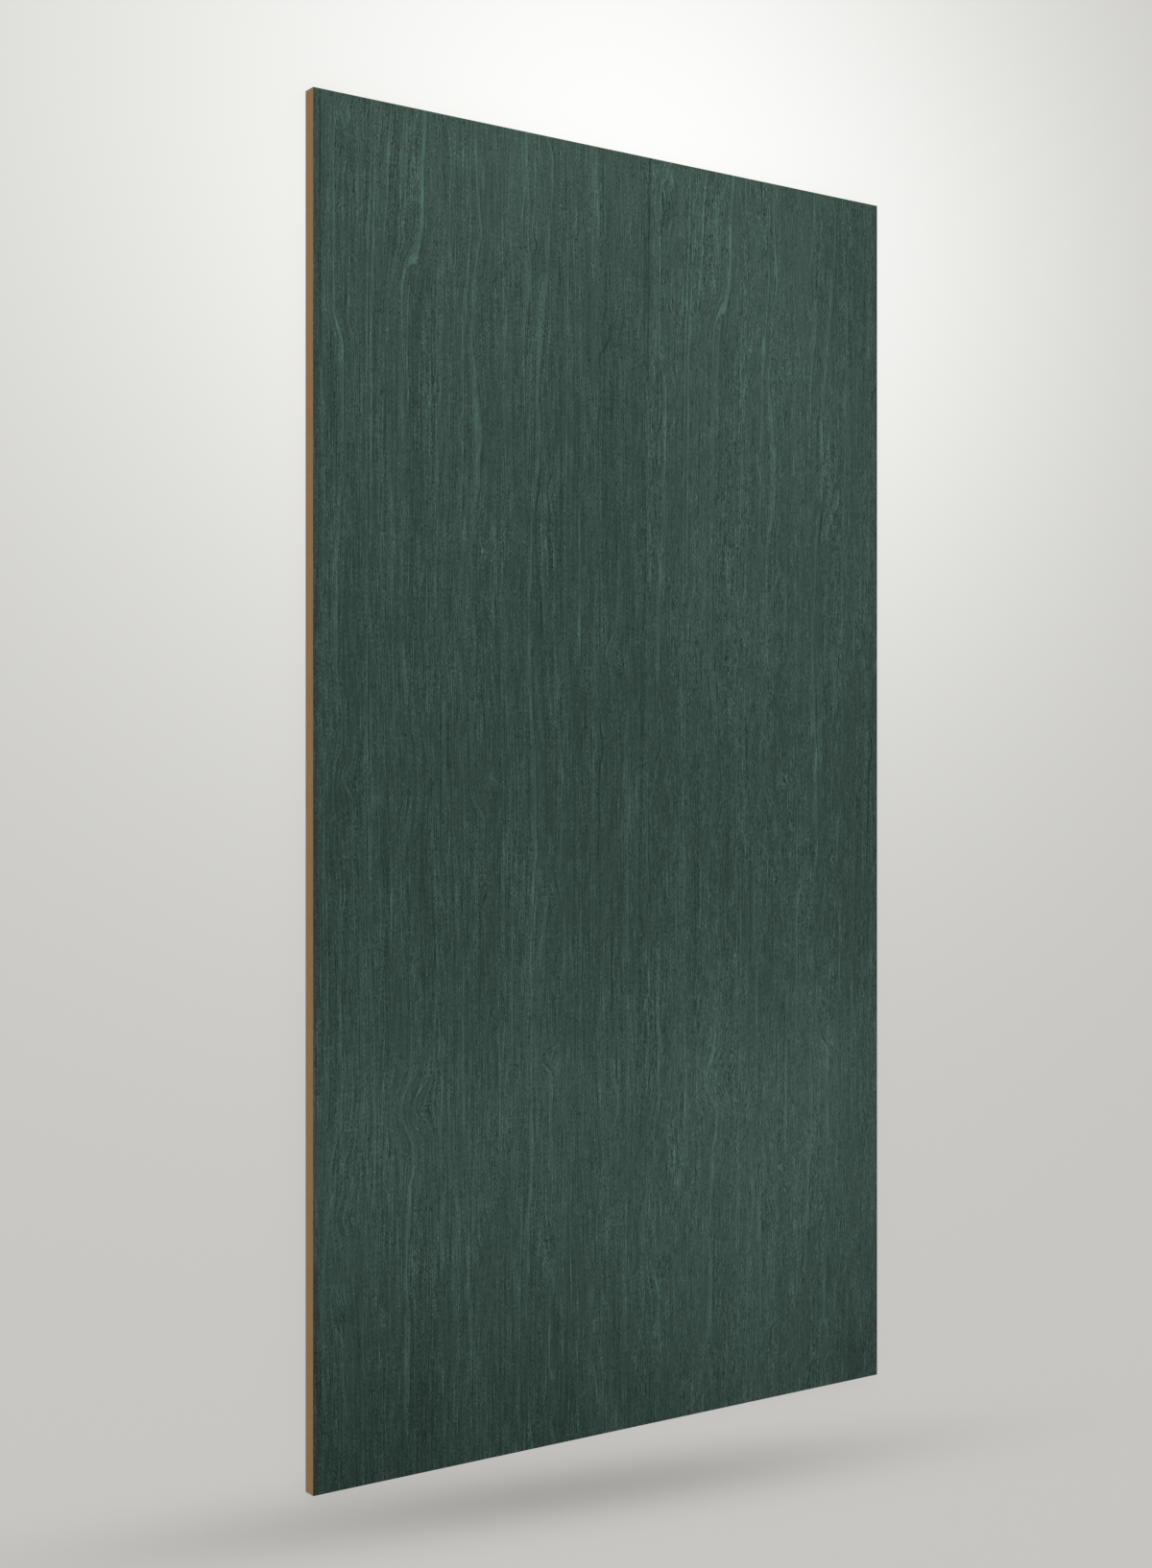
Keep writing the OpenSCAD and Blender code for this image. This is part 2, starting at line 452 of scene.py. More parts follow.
         (228, 193, 5, 0.9), (241, 188, 8, 0.9), (252, 184, 9, 0.8), (261, 173, 3.5, 0.7),
         (272, 168.5, 2.8, 0.75), (285, 166, 2.5, 0.7), (305, 163.5, 2.2, 0.6), (335, 163, 2, 0.5),
         (362, 165.5, 1.8, 0.2), (400, 166, 2, 0.3), (430, 166, 2, 0), (1500, 180, 3.5, 0.2),
         (1560, 180, 4, 0.5), (1590, 179, 3.8, 0.65), (1610, 173.5, 4, 0.8), (1622, 168, 4, 0.65),
         (1634, 162, 4, 0.5), (1655, 159.5, 4, 0.35), (1668, 165, 4, 0.4), (1680, 172, 4, 0.5),
         (1694, 180, 4, 0.5), (1710, 184.5, 4, 0.3), (1740, 185, 4, 0.4), (1765, 181, 3.5, 1),
         (1785, 177.5, 4, 0.85), (1815, 177.5, 4.5, 0.95), (1835, 176, 4.5, 0.7), (1870, 174, 3, 0.8),
         (1897, 173, 2.5, 0.7), (1920, 170, 3.5, 0.45), (1955, 172, 3.5, 0.4), (1985, 175, 5, 0.7),
         (2040, 173.5, 6, 0.75), (2100, 172, 7, 0.5), (2130, 172, 6, 0.25), (2160, 172, 5, 0),
         (2250, 172, 5, 0)],
        # short thin lines from 170 to 260 mm in
        [(0, 217, 1.5, 0.4), (60, 217, 1.5, 0.3), (90, 216, 1.5, 0), (275, 178, 1.6, 0),
         (293, 177, 1.6, 0.5), (318, 175, 1.6, 1), (367, 173.3, 1.6, 0.5), (400, 172.5, 1.6, 0.6),
         (440, 174, 1.8, 0.8), (475, 175, 1.8, 0.6), (500, 175, 1.6, 0), (545, 230, 1.5, 0),
         (565, 231, 1.6, 0.6), (680, 231, 1.6, 0.1), (740, 229, 1.6, 0.2), (775, 228, 1.6, 0.5),
         (800, 228, 1.6, 0.7), (830, 228, 1.6, 0.1), (900, 255, 1.5, 0), (915, 259, 1.5, 0.8),
         (930, 259, 1.6, 0.9), (965, 259, 1.6, 0.8), (980, 258, 1.5, 0), (1000, 252.5, 1.6, 0),
         (1015, 252, 1.7, -0.8), (1070, 252, 1.7, -0.8), (1090, 253, 2.5, -0.3), (1130, 255, 2.5, 0),
         (1180, 221, 1.8, 0), (1200, 220, 1.8, 0.5), (1235, 220, 1.8, 0.4), (1260, 228, 3, 0.2),
         (1300, 231, 3, 0.35), (1345, 231, 2, 0), (1380, 227, 1.8, 0), (1392, 226.7, 1.8, -0.9),
         (1410, 226.7, 1.8, -0.7), (1425, 227, 1.8, 0), (1590, 240, 2.5, 0.2), (1622, 240.5, 2.6, 0.9),
         (1650, 239.5, 2.4, 0.9), (1675, 238.5, 2, 0.2), (1800, 240, 3.5, 0.35), (1900, 240, 4.5, 0.6),
         (1930, 240, 4, 0.2), (2060, 241, 2.5, 0.2), (2095, 241.7, 3, 0.55), (2125, 242, 3, 0.2),
         (2250, 242, 3, 0)],
        # more of them, from 230 to 276 mm in
        [(0, 238, 1.5, 0.3), (60, 238, 1.5, 0.8), (120, 237, 1.5, 0.1), (240, 232, 1.5, 0.1),
         (265, 231.7, 1.5, 0.5), (330, 230.5, 1.5, 0.9), (370, 230, 1.5, 0.5), (450, 230, 1.5, 0.3),
         (500, 231, 1.5, 0), (1115, 268, 1.8, 0), (1130, 268, 1.8, 0.9), (1145, 268, 1.8, 0),
         (1270, 272, 5, 0.2), (1340, 272, 5, 0.35), (1400, 272, 5, 0.3), (1440, 271, 3, 0),
         (1660, 263.5, 1.5, 0), (1682, 263.3, 1.5, 0.9), (1705, 263.3, 1.5, 0.9), (1740, 264, 1.5, 0.4),
         (1765, 265, 1.5, 0), (1810, 271, 3.5, 0.3), (1845, 273.5, 3.5, 0.6), (1875, 275, 1.8, 0.6),
         (1910, 275.5, 1.8, 0.4), (1940, 276, 1.8, 0), (2250, 276, 2, 0)],
        # the line 290 mm in
        [(0, 298, 1.5, 0.4), (130, 295.5, 1.6, 0.6), (180, 296.5, 1.6, 0.9), (215, 294.5, 1.6, 0.8),
         (250, 291.7, 1.6, 0.9), (278, 289, 2, 0.6), (290, 286, 4, 0.8), (312, 285, 4.8, 0.9),
         (328, 286.5, 3, 0.5), (350, 283, 2.4, 0.5), (375, 281, 2.4, 0.6), (430, 281.5, 2, 0.4),
         (480, 282.5, 1.8, 0.5), (500, 276, 2, 0.5), (515, 274, 3, 0.45), (540, 278, 3.2, 0.9),
         (560, 280.5, 2.2, 0.6), (600, 280, 2.2, 0.5), (640, 277, 2.2, 0.4), (660, 279, 4, 0.3),
         (690, 281, 9, 0.3), (715, 283, 7, 0.2), (760, 288, 3, 0.3), (810, 288.5, 3.5, 0.5),
         (860, 289, 3, 0.3), (940, 293, 2, 0.2), (985, 295, 2, 0.5), (1010, 293, 2, 0.2),
         (1040, 287, 2.5, 0.35), (1080, 285, 2.5, 0), (1230, 303, 2, 0), (1255, 305, 2.4, 0.5),
         (1300, 305, 2.4, 0.4), (1330, 305, 2.4, 0.3), (1380, 299, 3, 0.1), (1440, 282, 4, 0.3),
         (1500, 280, 4, 0.3), (1525, 281.5, 3, 0.6), (1545, 281.7, 2.5, 0.8), (1570, 282, 3, 0.1),
         (1670, 283.3, 3, 0.5), (1690, 284, 2, 0.3), (1730, 284, 2, 0.1), (1770, 300, 2.5, 0.2),
         (1830, 302.5, 4, 0.5), (1860, 301, 4, 0.65), (1880, 292, 3.5, 0.45), (1905, 291.5, 4, 0.6),
         (1945, 292.5, 4, 0.55), (1975, 294.5, 4, 0.4), (2020, 296, 3, 0.4), (2045, 296, 3, 0.6),
         (2090, 297, 2.5, 0.55), (2140, 297, 2.5, 0), (2250, 297, 2, 0)],
        # the brightest band of the middle, 310 mm in
        [(0, 306, 2, 0.2), (20, 307, 2.4, 0.4), (60, 307.5, 2.4, 0.75), (100, 309.2, 2, 0.75),
         (125, 311.7, 2, 0.8), (145, 313.7, 2, 0.85), (168, 316, 2, 0.95), (185, 317, 2.2, 1),
         (200, 315, 2.6, 0.4), (215, 309.5, 2, 0.4), (260, 305, 2, 0.5), (285, 302.5, 1.8, 0.5),
         (320, 300, 1.8, 0.4), (345, 298.7, 3, 0.6), (375, 297, 3.4, 0.65), (395, 299.5, 3.8, 0.6),
         (415, 302, 4.4, 0.45), (450, 304, 5, 0.7), (475, 308.5, 6.5, 0.45), (510, 310, 7, 0.75),
         (550, 311, 6.5, 0.6), (563, 310, 6, 0.6), (600, 309.5, 6, 0.8), (622, 308.5, 5.5, 0.45),
         (636, 305, 4, 0.5), (652, 302, 3, 0.1), (680, 300, 2.5, 0.3), (750, 298, 2.5, 0.2),
         (900, 298, 2.5, 0.05), (1125, 299, 2.5, 0.1), (1142, 303, 2.5, 0.4), (1153, 311, 3, 0.45),
         (1165, 319, 3, 0.45), (1185, 323, 3.2, 0.5), (1205, 322, 3.2, 0.3), (1230, 320, 3, 0),
         (2250, 320, 3, 0)],
        # short lines from 324 to 362 mm in
        [(0, 345, 4, 0), (660, 344, 4, 0.1), (700, 344, 4, 0.4), (740, 343, 4, 0.3), (785, 343.5, 4, 0.8),
         (810, 342, 3, 0.75), (845, 342.5, 3.2, 0.6), (862, 343.5, 2, 0.3), (875, 344, 2, 0),
         (1085, 344, 2.5, 0), (1098, 342, 2.4, 0.2), (1112, 332, 2.4, 0.4), (1122, 326, 2.4, 0),
         (1180, 361, 1.5, 0), (1220, 361.5, 1.5, 0.2), (1330, 362, 1.5, 0.4), (1370, 362, 1.5, 0),
         (1480, 352, 1.8, 0), (1490, 351.7, 1.8, 0.95), (1502, 352, 1.8, 0), (1560, 354, 2.5, 0.2),
         (1640, 354.5, 2.5, 0.4), (1665, 355, 2, 0.7), (1695, 355, 2, 0.8), (1715, 355, 3, 0.7),
         (1760, 355, 4, 0.3), (1800, 355, 2, 0.1), (2250, 355, 2, 0)],
        # thin lines from 377 to 406 mm in
        [(0, 398, 1.5, 0), (290, 403, 3, 0.2), (310, 406, 3, 0.5), (335, 403.7, 2.8, 0.8),
         (370, 402.5, 3, 0.55), (410, 404, 2.4, 0.8), (430, 404, 2, 0.1), (640, 386, 1.5, 0),
         (1060, 377, 1.5, 0.1), (1150, 377, 1.5, 0.4), (1195, 378.5, 1.6, 0.7), (1250, 378.7, 1.6, 0.5),
         (1300, 380, 1.6, 0.6), (1360, 379.7, 1.8, 0.8), (1520, 379.5, 1.7, 0.7), (1580, 380, 1.5, 0.3),
         (1700, 380, 1.5, 0.1), (1900, 390, 1.5, 0.1), (1945, 394, 1.5, 0.5), (2010, 394.7, 1.6, 0.7),
         (2019, 388, 1.5, 0.1), (2030, 378, 1.6, 0.5), (2058, 377, 1.6, 0.7), (2070, 377, 1.5, 0.1),
         (2250, 377, 1.5, 0)],
        # the long band 415 mm in
        [(0, 408.7, 2.6, 0.6), (30, 408.7, 2.8, 0.9), (60, 409, 3, 0.45), (85, 407, 3, 0.4),
         (110, 405, 2.2, 0.6), (135, 401, 2, 0.75), (165, 400, 2, 0.2), (195, 412, 4, 0.2),
         (215, 412.5, 6, 0.5), (260, 411, 6, 0.5), (290, 410, 5, 0.7), (310, 408, 3, 0), (580, 424, 5, 0),
         (615, 423, 5, 0.4), (650, 421, 4, 0.4), (668, 419.5, 2, 0.95), (740, 418, 2, 0.6),
         (780, 415.5, 3, 0.5), (850, 413.5, 2.6, 0.3), (880, 413.5, 3.2, 0.8), (915, 415, 4.5, 0.5),
         (950, 416, 4, 0.5), (985, 417, 4.2, 0.7), (1020, 420, 3.2, 0.5), (1045, 423, 3, 0.5),
         (1075, 425, 5, 0.6), (1115, 424, 5, 0.6), (1165, 424, 6, 0.6), (1205, 425, 5.5, 0.65),
         (1222, 428, 4.5, 0.65), (1242, 427, 4, 0.8), (1265, 425, 3, 0.6), (1300, 421, 4.5, 0.6),
         (1345, 418.5, 2.5, 0.5), (1400, 417, 3, 0.2), (1455, 417, 4, 0.5), (1490, 418, 4, 0),
         (1600, 417, 5, 0.15), (1670, 418, 5, 0.25), (1705, 419, 5, 0.75), (1760, 419.5, 5, 0.2),
         (1790, 418, 4, 0.35), (1820, 416.5, 3.5, 0.5), (1860, 412, 3.6, 0.35), (1935, 411.7, 4, 0.45),
         (1955, 410, 3, 0.45), (1985, 409.5, 2.6, 0.4), (2020, 409, 2, 0.1), (2250, 409, 2, 0)],
        # the bends round the knots 460 mm in
        [(0, 425, 2.2, 0.5), (45, 426, 2.4, 0.35), (58, 428.5, 2.6, 0.8), (75, 427, 2.2, 0.4),
         (135, 423.5, 2.2, 0.3), (162, 422, 3, 0.6), (180, 421, 2.5, 0.2), (200, 420, 2, 0),
         (540, 476, 4, 0), (562, 474, 6, 0.4), (578, 473, 6, 0.45), (592, 466, 5.5, 0.5),
         (606, 458, 6, 0.1), (625, 450, 6, 0.4), (645, 446, 5, 0.3), (680, 446.5, 2.2, 0.2),
         (698, 447.7, 2.6, 0.7), (712, 447.7, 2.6, 0.1), (900, 471, 7, 0.1), (930, 472, 7, 0.4),
         (970, 471, 6, 0.1), (1000, 470, 5, 0), (1118, 444, 2.5, 0), (1130, 443.7, 2.6, 1),
         (1142, 444, 2.5, 0), (1290, 451, 4, 0.1), (1310, 451, 4.5, 0.6), (1330, 450, 4.5, 0.55),
         (1355, 447, 4, 0.4), (1400, 444.5, 4, 0.25), (1440, 444, 4, 0.1), (1585, 441, 2.6, 0.1),
         (1597, 446, 3, 0.7), (1605, 454, 3.4, 0.8), (1618, 459, 4.2, 0.75), (1640, 460, 4.4, 0.5),
         (1665, 458.5, 4, 0.5), (1700, 458, 3.5, 0.25), (1735, 460, 4.5, 0.5), (1780, 460, 4.5, 0.4),
         (1815, 460, 4, 0.2), (1950, 457, 1.6, 0.2), (2000, 457, 1.6, 0.5), (2030, 456.5, 1.6, 0.5),
         (2050, 456.3, 1.9, 1), (2080, 456, 1.7, 0.9), (2110, 456, 1.6, 0.9), (2128, 460, 3, 0.7),
         (2140, 463, 4, 0.3), (2152, 464, 3, 0), (2250, 464, 3, 0)],
        # the broad bright band 435 mm in, with a dark one below it
        [(0, 449, 2, 0.5), (12, 455, 2.4, 0.6), (25, 461, 2.4, 0.8), (45, 463, 2.2, 1), (85, 463, 2.2, 1),
         (110, 461.5, 2, 0.9), (140, 460, 2, 0.35), (156, 453.5, 5, 0.5), (200, 452, 5, 0.45),
         (228, 450, 5, 0.25), (250, 447.5, 5.6, 0.8), (268, 444, 7, 0.8), (288, 441, 7.5, 0.5),
         (310, 438.7, 8, 0.5), (335, 436.2, 7.5, 0.4), (365, 435, 7, 0.6), (395, 433.5, 5.5, 0.5),
         (430, 431.5, 4.2, 0.5), (460, 431, 4, 0.75), (480, 433.5, 4.5, 0.55), (535, 434, 4.5, 0.7),
         (553, 433.5, 3.2, 0.7), (575, 433, 2, 1), (588, 432, 1.5, 0.1), (595, 436, 2, -0.4),
         (617, 432, 2.4, -0.7), (655, 429, 2.4, -0.35), (690, 428, 2, -0.3), (740, 433, 6, -0.2),
         (780, 434, 8, -0.2), (830, 434, 7, -0.3), (900, 434, 7, 0), (1980, 466, 2.6, 0),
         (2010, 466.5, 2.8, -0.4), (2070, 466, 2.8, -0.35), (2095, 466, 2.5, 0), (2250, 466, 2, 0)],
        # the thin line 490 mm in
        [(0, 497, 1.5, 0.1), (280, 495, 1.5, 0.5), (300, 495, 1.5, 0.3), (460, 493, 1.6, 0.5),
         (515, 493, 1.6, 0.5), (560, 491, 1.7, 0.6), (600, 491, 1.6, 0.5), (640, 489, 1.7, 0.6),
         (685, 489, 1.6, 0.4), (750, 488, 1.8, 0.6), (770, 488, 1.6, 0.2), (830, 488.7, 1.6, 0.5),
         (860, 489, 1.5, 0.1), (1010, 493.5, 1.8, 0.3), (1050, 493.7, 1.8, 0.5), (1075, 490, 1.6, 0.1),
         (1090, 484, 1.7, 0.4), (1112, 483.5, 1.7, 0.8), (1125, 483, 1.8, 0.3), (1195, 482, 3, 0.6),
         (1220, 481, 3, 0.75), (1260, 480, 3, 0.4), (1300, 481, 2, 0.2), (1350, 488.5, 1.7, 0.5),
         (1400, 488.7, 1.8, 0.7), (1510, 488.7, 1.7, 0.5), (1540, 488.7, 1.6, 0), (2040, 484, 3.5, 0.1),
         (2070, 483.5, 3.6, 0.5), (2100, 483.7, 3.6, 0.5), (2120, 484, 3, 0), (2250, 484, 3, 0)],
        # thin lines from 503 to 570 mm in
        [(0, 524, 1.5, 0), (340, 523.7, 1.5, 0.2), (365, 523.7, 1.6, 0.7), (395, 523.7, 1.6, 0.5),
         (420, 524, 1.5, 0), (540, 530, 1.8, 0.2), (565, 530, 1.8, 0.5), (590, 529, 1.8, 0),
         (650, 520, 1.6, 0.2), (680, 519.7, 1.7, 0.6), (780, 519.7, 1.8, 0.5), (810, 519.7, 2.6, 1),
         (870, 519.7, 2.6, 0.75), (910, 519, 2, 0.1), (1180, 504, 1.5, 0), (1195, 503.3, 1.6, 0.7),
         (1215, 503, 1.5, 0.3), (1240, 502.7, 1.5, 0.4), (1258, 502.7, 1.6, 0.9), (1275, 502.7, 1.5, 0.2),
         (1350, 520, 3, 0.1), (1450, 521, 3, 0.2), (1520, 521, 3, 0.3), (1545, 535, 2, 0),
         (1568, 550, 2, 0.4), (1585, 559, 2, 0.4), (1602, 564, 2, 0.4), (1625, 569, 2, 0.3),
         (1645, 570, 2, 0), (2120, 551, 2, 0), (2140, 552, 2.2, 0.9), (2165, 555, 2.2, 0.5),
         (2190, 558.5, 2, 0.4), (2205, 560, 2, 0), (2250, 560, 2, 0)],
        # the pale band 550 mm in, and the lines near the right side
        [(0, 551, 9, 0.4), (200, 552, 10, 0.2), (290, 551, 8, 0.2), (340, 550, 6, 0), (670, 603, 2, 0),
         (700, 603.7, 2.2, 0.6), (745, 603.5, 2.4, 0.6), (800, 600.5, 3, 0.6), (838, 599.5, 2, 0.2),
         (850, 594, 2, 0.5), (862, 587, 2.2, 0.7), (875, 580, 2.2, 0.6), (890, 577.5, 2.2, 0.95),
         (900, 580, 2, 0), (1040, 622, 5, 0.1), (1080, 620, 6, 0.35), (1120, 624, 5.5, 0.4),
         (1180, 625, 6, 0.55), (1210, 625, 5, 0), (1290, 622.5, 4, 0.5), (1320, 622.5, 4, 0.5),
         (1400, 623, 4, 0.3), (1540, 624, 3, 0.1), (1610, 625, 2, 0.7), (1630, 625, 2.2, 0.9),
         (1655, 625.5, 2, 0.5), (1690, 625, 2, 0.1), (1840, 620, 2.4, 0.4), (1865, 620, 2.5, 0.65),
         (1935, 620, 2.6, 0.9), (1960, 620, 2.2, 0.6), (2040, 619, 2.2, 0.5), (2065, 618.5, 2, 0.1),
         (2200, 598, 4, 0), (2215, 598, 4.5, 0.7), (2235, 597, 4.5, 0.7), (2250, 597, 4, 0.1)],
        # dark lines round the knots 580 mm in
        [(0, 570, 2.5, -0.3), (200, 572, 2.5, -0.3), (240, 577, 2, -0.15), (300, 577.5, 2, -0.4),
         (318, 586, 2.4, -0.25), (335, 581, 2.6, -0.6), (352, 573, 2.8, -0.7), (374, 563, 2.6, -0.4),
         (395, 572, 2.4, -0.25), (415, 588, 2, -0.3), (440, 590, 2, 0), (890, 543, 2, 0), (903, 546, 2, 0),
         (930, 552.5, 2, 0.1), (960, 558, 2, 0.5), (975, 559.5, 2, 0.3), (985, 563, 2, -0.3),
         (1020, 564, 2.2, -0.7), (1040, 569, 2.2, -0.8), (1058, 569, 2.4, -0.8), (1075, 564, 2.6, -0.8),
         (1110, 561.5, 2.4, -0.5), (1200, 560, 2.2, -0.5), (1260, 558.5, 2, -0.3), (1300, 560, 2, 0),
         (1380, 588, 2, -0.2), (1410, 588.7, 2.2, -0.6), (1430, 588.5, 1.8, -0.7), (1500, 588, 1.8, -0.7),
         (1530, 589, 1.8, -0.25), (1570, 598, 1.8, -0.5), (1600, 598.7, 1.8, -0.8),
         (1628, 598.7, 1.8, -0.6), (1645, 601.5, 2.2, 0.2), (1660, 602, 2.4, 1), (1680, 602, 2.2, 0.5),
         (1697, 599, 2.4, 0.6), (1715, 592, 2.4, 0.6), (1730, 587, 2.2, 0.3), (1745, 587, 2, 0),
         (2000, 593.5, 2.2, -0.2), (2030, 593.7, 2.4, -0.45), (2070, 595, 2.4, -0.6), (2080, 606, 4, -0.6),
         (2090, 610, 4, 0), (2250, 610, 3, 0)],
        # short dark hooks under the knots
        [(0, 181, 1.6, 0), (296, 181, 1.6, 0), (304, 184, 1.7, -0.8), (308, 190, 1.7, -1),
         (314, 197, 1.7, -0.35), (323, 202, 1.6, -0.25), (333, 209, 1.6, -0.8), (342, 211, 1.6, 0),
         (824, 324, 1.8, 0), (832, 328, 1.8, -0.3), (838, 334, 1.8, -0.35), (848, 338, 1.8, -0.6),
         (856, 339, 1.8, 0), (1545, 476, 2, 0), (1556, 474, 2.2, -0.8), (1563, 464, 2.4, -0.8),
         (1570, 454, 2.2, -0.7), (1580, 445, 2, -0.45), (1590, 446, 2, -0.5), (1599, 454, 2, -0.7),
         (1606, 460, 2, 0), (2250, 460, 2, 0)],
        # short pale hooks above the knots
        [(0, 60, 3, 0), (22, 62, 4, 0.2), (38, 65, 3, 0.5), (48, 64, 2, 0), (255, 153, 2.5, 0),
         (270, 150, 3, 0.3), (300, 143, 3, 0.25), (330, 140, 3, 0), (968, 210, 4, 0), (979, 209, 4.5, 0.5),
         (992, 209, 4, 0), (1590, 214, 2.4, 0), (1603, 210, 2.6, 0.35), (1618, 198, 2.6, 0.4),
         (1635, 187, 2.6, 0.35), (1645, 184, 2.4, 0.2), (1655, 189, 2.2, 0.3), (1676, 203, 2.2, 0.4),
         (1693, 210, 2.2, 0.35), (1720, 213, 2, 0), (1870, 221.5, 1.8, 0), (1890, 221.7, 1.8, 0.5),
         (1930, 221.7, 1.8, 0.5), (1960, 219.5, 1.8, 0), (2250, 219, 2, 0)],
        # wide dark bands
        [(0, 12, 3.2, -0.45), (430, 12, 3, -0.35), (455, 12, 3, 0), (1180, 202, 2, 0),
         (1195, 201.7, 2, -0.25), (1210, 201.7, 2, -0.25), (1225, 206, 6, -0.25), (1290, 206, 6, -0.25),
         (1380, 206.5, 5, -0.1), (1420, 206.7, 4, -0.25), (1450, 206.7, 4, -0.15), (1480, 207, 4, 0),
         (2085, 207, 5, 0), (2110, 207, 6, -0.3), (2125, 207, 5, -0.15), (2180, 207, 4, 0),
         (2187, 207, 5, -0.7), (2196, 207, 4, 0), (2250, 207, 4, 0)],
    ],
}


def sheetPlace(tree):
    # mm across from the left edge, mm along from the head, and the sheet's width and length;
    # the backing veneer is cut to the same size
    low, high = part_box("face_veneer")
    place = addNode(tree, "TexCoord").outputs["Object"]
    split = addNode(tree, "SeparateXYZ", {0: place})
    across = calc(tree, "MULTIPLY_ADD", split.outputs[0], mmPerMetre, -mmPerMetre * low.x)
    along = calc(tree, "MULTIPLY_ADD", split.outputs[1], -mmPerMetre, mmPerMetre * high.y)
    return across, along, mmPerMetre * (high.x - low.x), mmPerMetre * (high.y - low.y)


grainRoughness = 0.55    # how strong the finer waves of the grain are beside the broad ones


def grainNoise(tree, growth, along, size, seed, detail=1):
    # streaky noise that follows the grain; the size is in mm across and along it
    width, length = size
    x = calc(tree, "DIVIDE", growth, width)
    y = calc(tree, "DIVIDE", along, length)
    return smoothNoise(tree, x, y, seed, detail, grainRoughness)


def leafPlace(tree, across, share):
    # mm across the leaf that a point is in, and a seed that differs between the leaves
    joint = calc(tree, "MULTIPLY_ADD", share, -faceVeneer["leafLean"], faceVeneer["leafWidth"])
    leaf = calc(tree, "GREATER_THAN", across, joint)
    sister = calc(tree, "DIVIDE", calc(tree, "SUBTRACT", across, joint), faceVeneer["leafSqueeze"])
    leafAcross = remap(tree, leaf, 0.0, 1.0, across, sister)
    return leafAcross, calc(tree, "MULTIPLY", leaf, faceVeneer["sisterSeed"])


def knotField(tree, leafAcross, along):
    # how far the knots push the grain aside, and how much paler they are
    place = joinPlace(tree, leafAcross, along)
    push = 0.0
    tone = 0.0
    for across, down, halfWidth, halfLength, pushed, paler in faceVeneer["knots"]:
        hump = softPatch(tree, place, (across, down), (halfWidth, halfLength))
        if pushed:
            push = calc(tree, "MULTIPLY_ADD", hump, pushed, push)
        if paler:
            mark = remap(tree, hump, *faceVeneer["knotEdge"])
            tone = calc(tree, "MULTIPLY_ADD", mark, paler, tone)
    return push, tone


def growthField(tree, bent, share, sheetLength):
    # counts the growth across the leaf, in mm, between one grain line and the next
    limit = faceVeneer["driftLimit"]
    lines = []
    for home, drift in faceVeneer["grainLines"]:
        line = float(home)
        if len(drift) > 1:
            points = [(place / sheetLength, shift) for place, shift in drift]
            line = calc(tree, "ADD", curveOf(tree, share, points, -limit, limit), line)
        lines.append((home, line))
    growth = 0.0
    for (home, line), (nextHome, nextLine) in zip(lines, lines[1:]):
        growth = calc(tree, "ADD", growth, remap(tree, bent, line, nextLine, 0.0, nextHome - home))
    return growth


def dyeAndPaintedLightField(tree, across, along, acrossShare, share):
    # how much paler or darker the face is: partly where it took less dye, partly painted light and shade,
    # with a paler head, a darker foot, darker sides and a darker corner at the left of the foot
    limit = faceVeneer["dyeAndPaintedLightLimit"]
    lengthways = curveOf(tree, share, faceVeneer["dyeAndPaintedLightAlong"], -limit, limit)
    sideways = curveOf(tree, acrossShare, faceVeneer["dyeAndPaintedShadeAcross"], -limit, limit)
    value = calc(tree, "ADD", lengthways, sideways)
    # painted shade: the corner at the left of the foot painted darker
    foot = remap(tree, share, faceVeneer["cornerStart"], 1.0)
    left = remap(tree, acrossShare, 0.0, faceVeneer["cornerWidth"], 1.0, 0.0)
    value = calc(tree, "MULTIPLY_ADD", calc(tree, "MULTIPLY", foot, left), faceVeneer["paintedCornerShade"], value)
    place = joinPlace(tree, across, along)
    # smaller patches: partly uneven dye, partly painted shade at the corners and the foot
    for x, y, halfWidth, halfLength, paler in faceVeneer["dyeAndPaintedShadePatches"]:
        patch = softPatch(tree, place, (x, y), (halfWidth, halfLength))
        value = calc(tree, "MULTIPLY_ADD", patch, paler, value)
    return value


def unevenField(tree, leafAcross, along, seed):
    # where the short fibres and the streaks are stronger or fainter
    seed = calc(tree, "ADD", seed, faceVeneer["patchSeed"])
    uneven = 0.0
    for width, length, strength in faceVeneer["patches"]:
        patch = grainNoise(tree, leafAcross, along, (width, length), seed, 0)
        uneven = calc(tree, "MULTIPLY_ADD", patch, strength, uneven)
    return uneven


def streakBands(tree, frayed, share, sheetLength):
    # each streak is a band round its own path: it fades in from the left and ends sharply on the
    # right, beside a line of the opposite tone
    total = 0.0
    for spots in faceVeneer["streaks"]:
        places, crossings, halfWidths, tones = zip(*spots)

        def follow(heights, low, high):
            points = [(place / sheetLength, height) for place, height in zip(places, heights)]
            return curveOf(tree, share, points, low, high)

        # with a millimetre of room, since a path may run straight
        path = follow(crossings, min(crossings) - 1, max(crossings))
        away = calc(tree, "SUBTRACT", frayed, path)
        halfWidth = follow(halfWidths, 0, faceVeneer["widestStreak"])
        reach = calc(tree, "MULTIPLY", halfWidth, faceVeneer["shapeSpan"])
        place = calc(tree, "ADD", calc(tree, "DIVIDE", away, reach), faceVeneer["streakMiddle"])
        band = curveOf(tree, place, faceVeneer["streakShape"], *faceVeneer["shapeLimits"])
        total = calc(tree, "MULTIPLY_ADD", band, follow(tones, -1, 1), total)
    return total


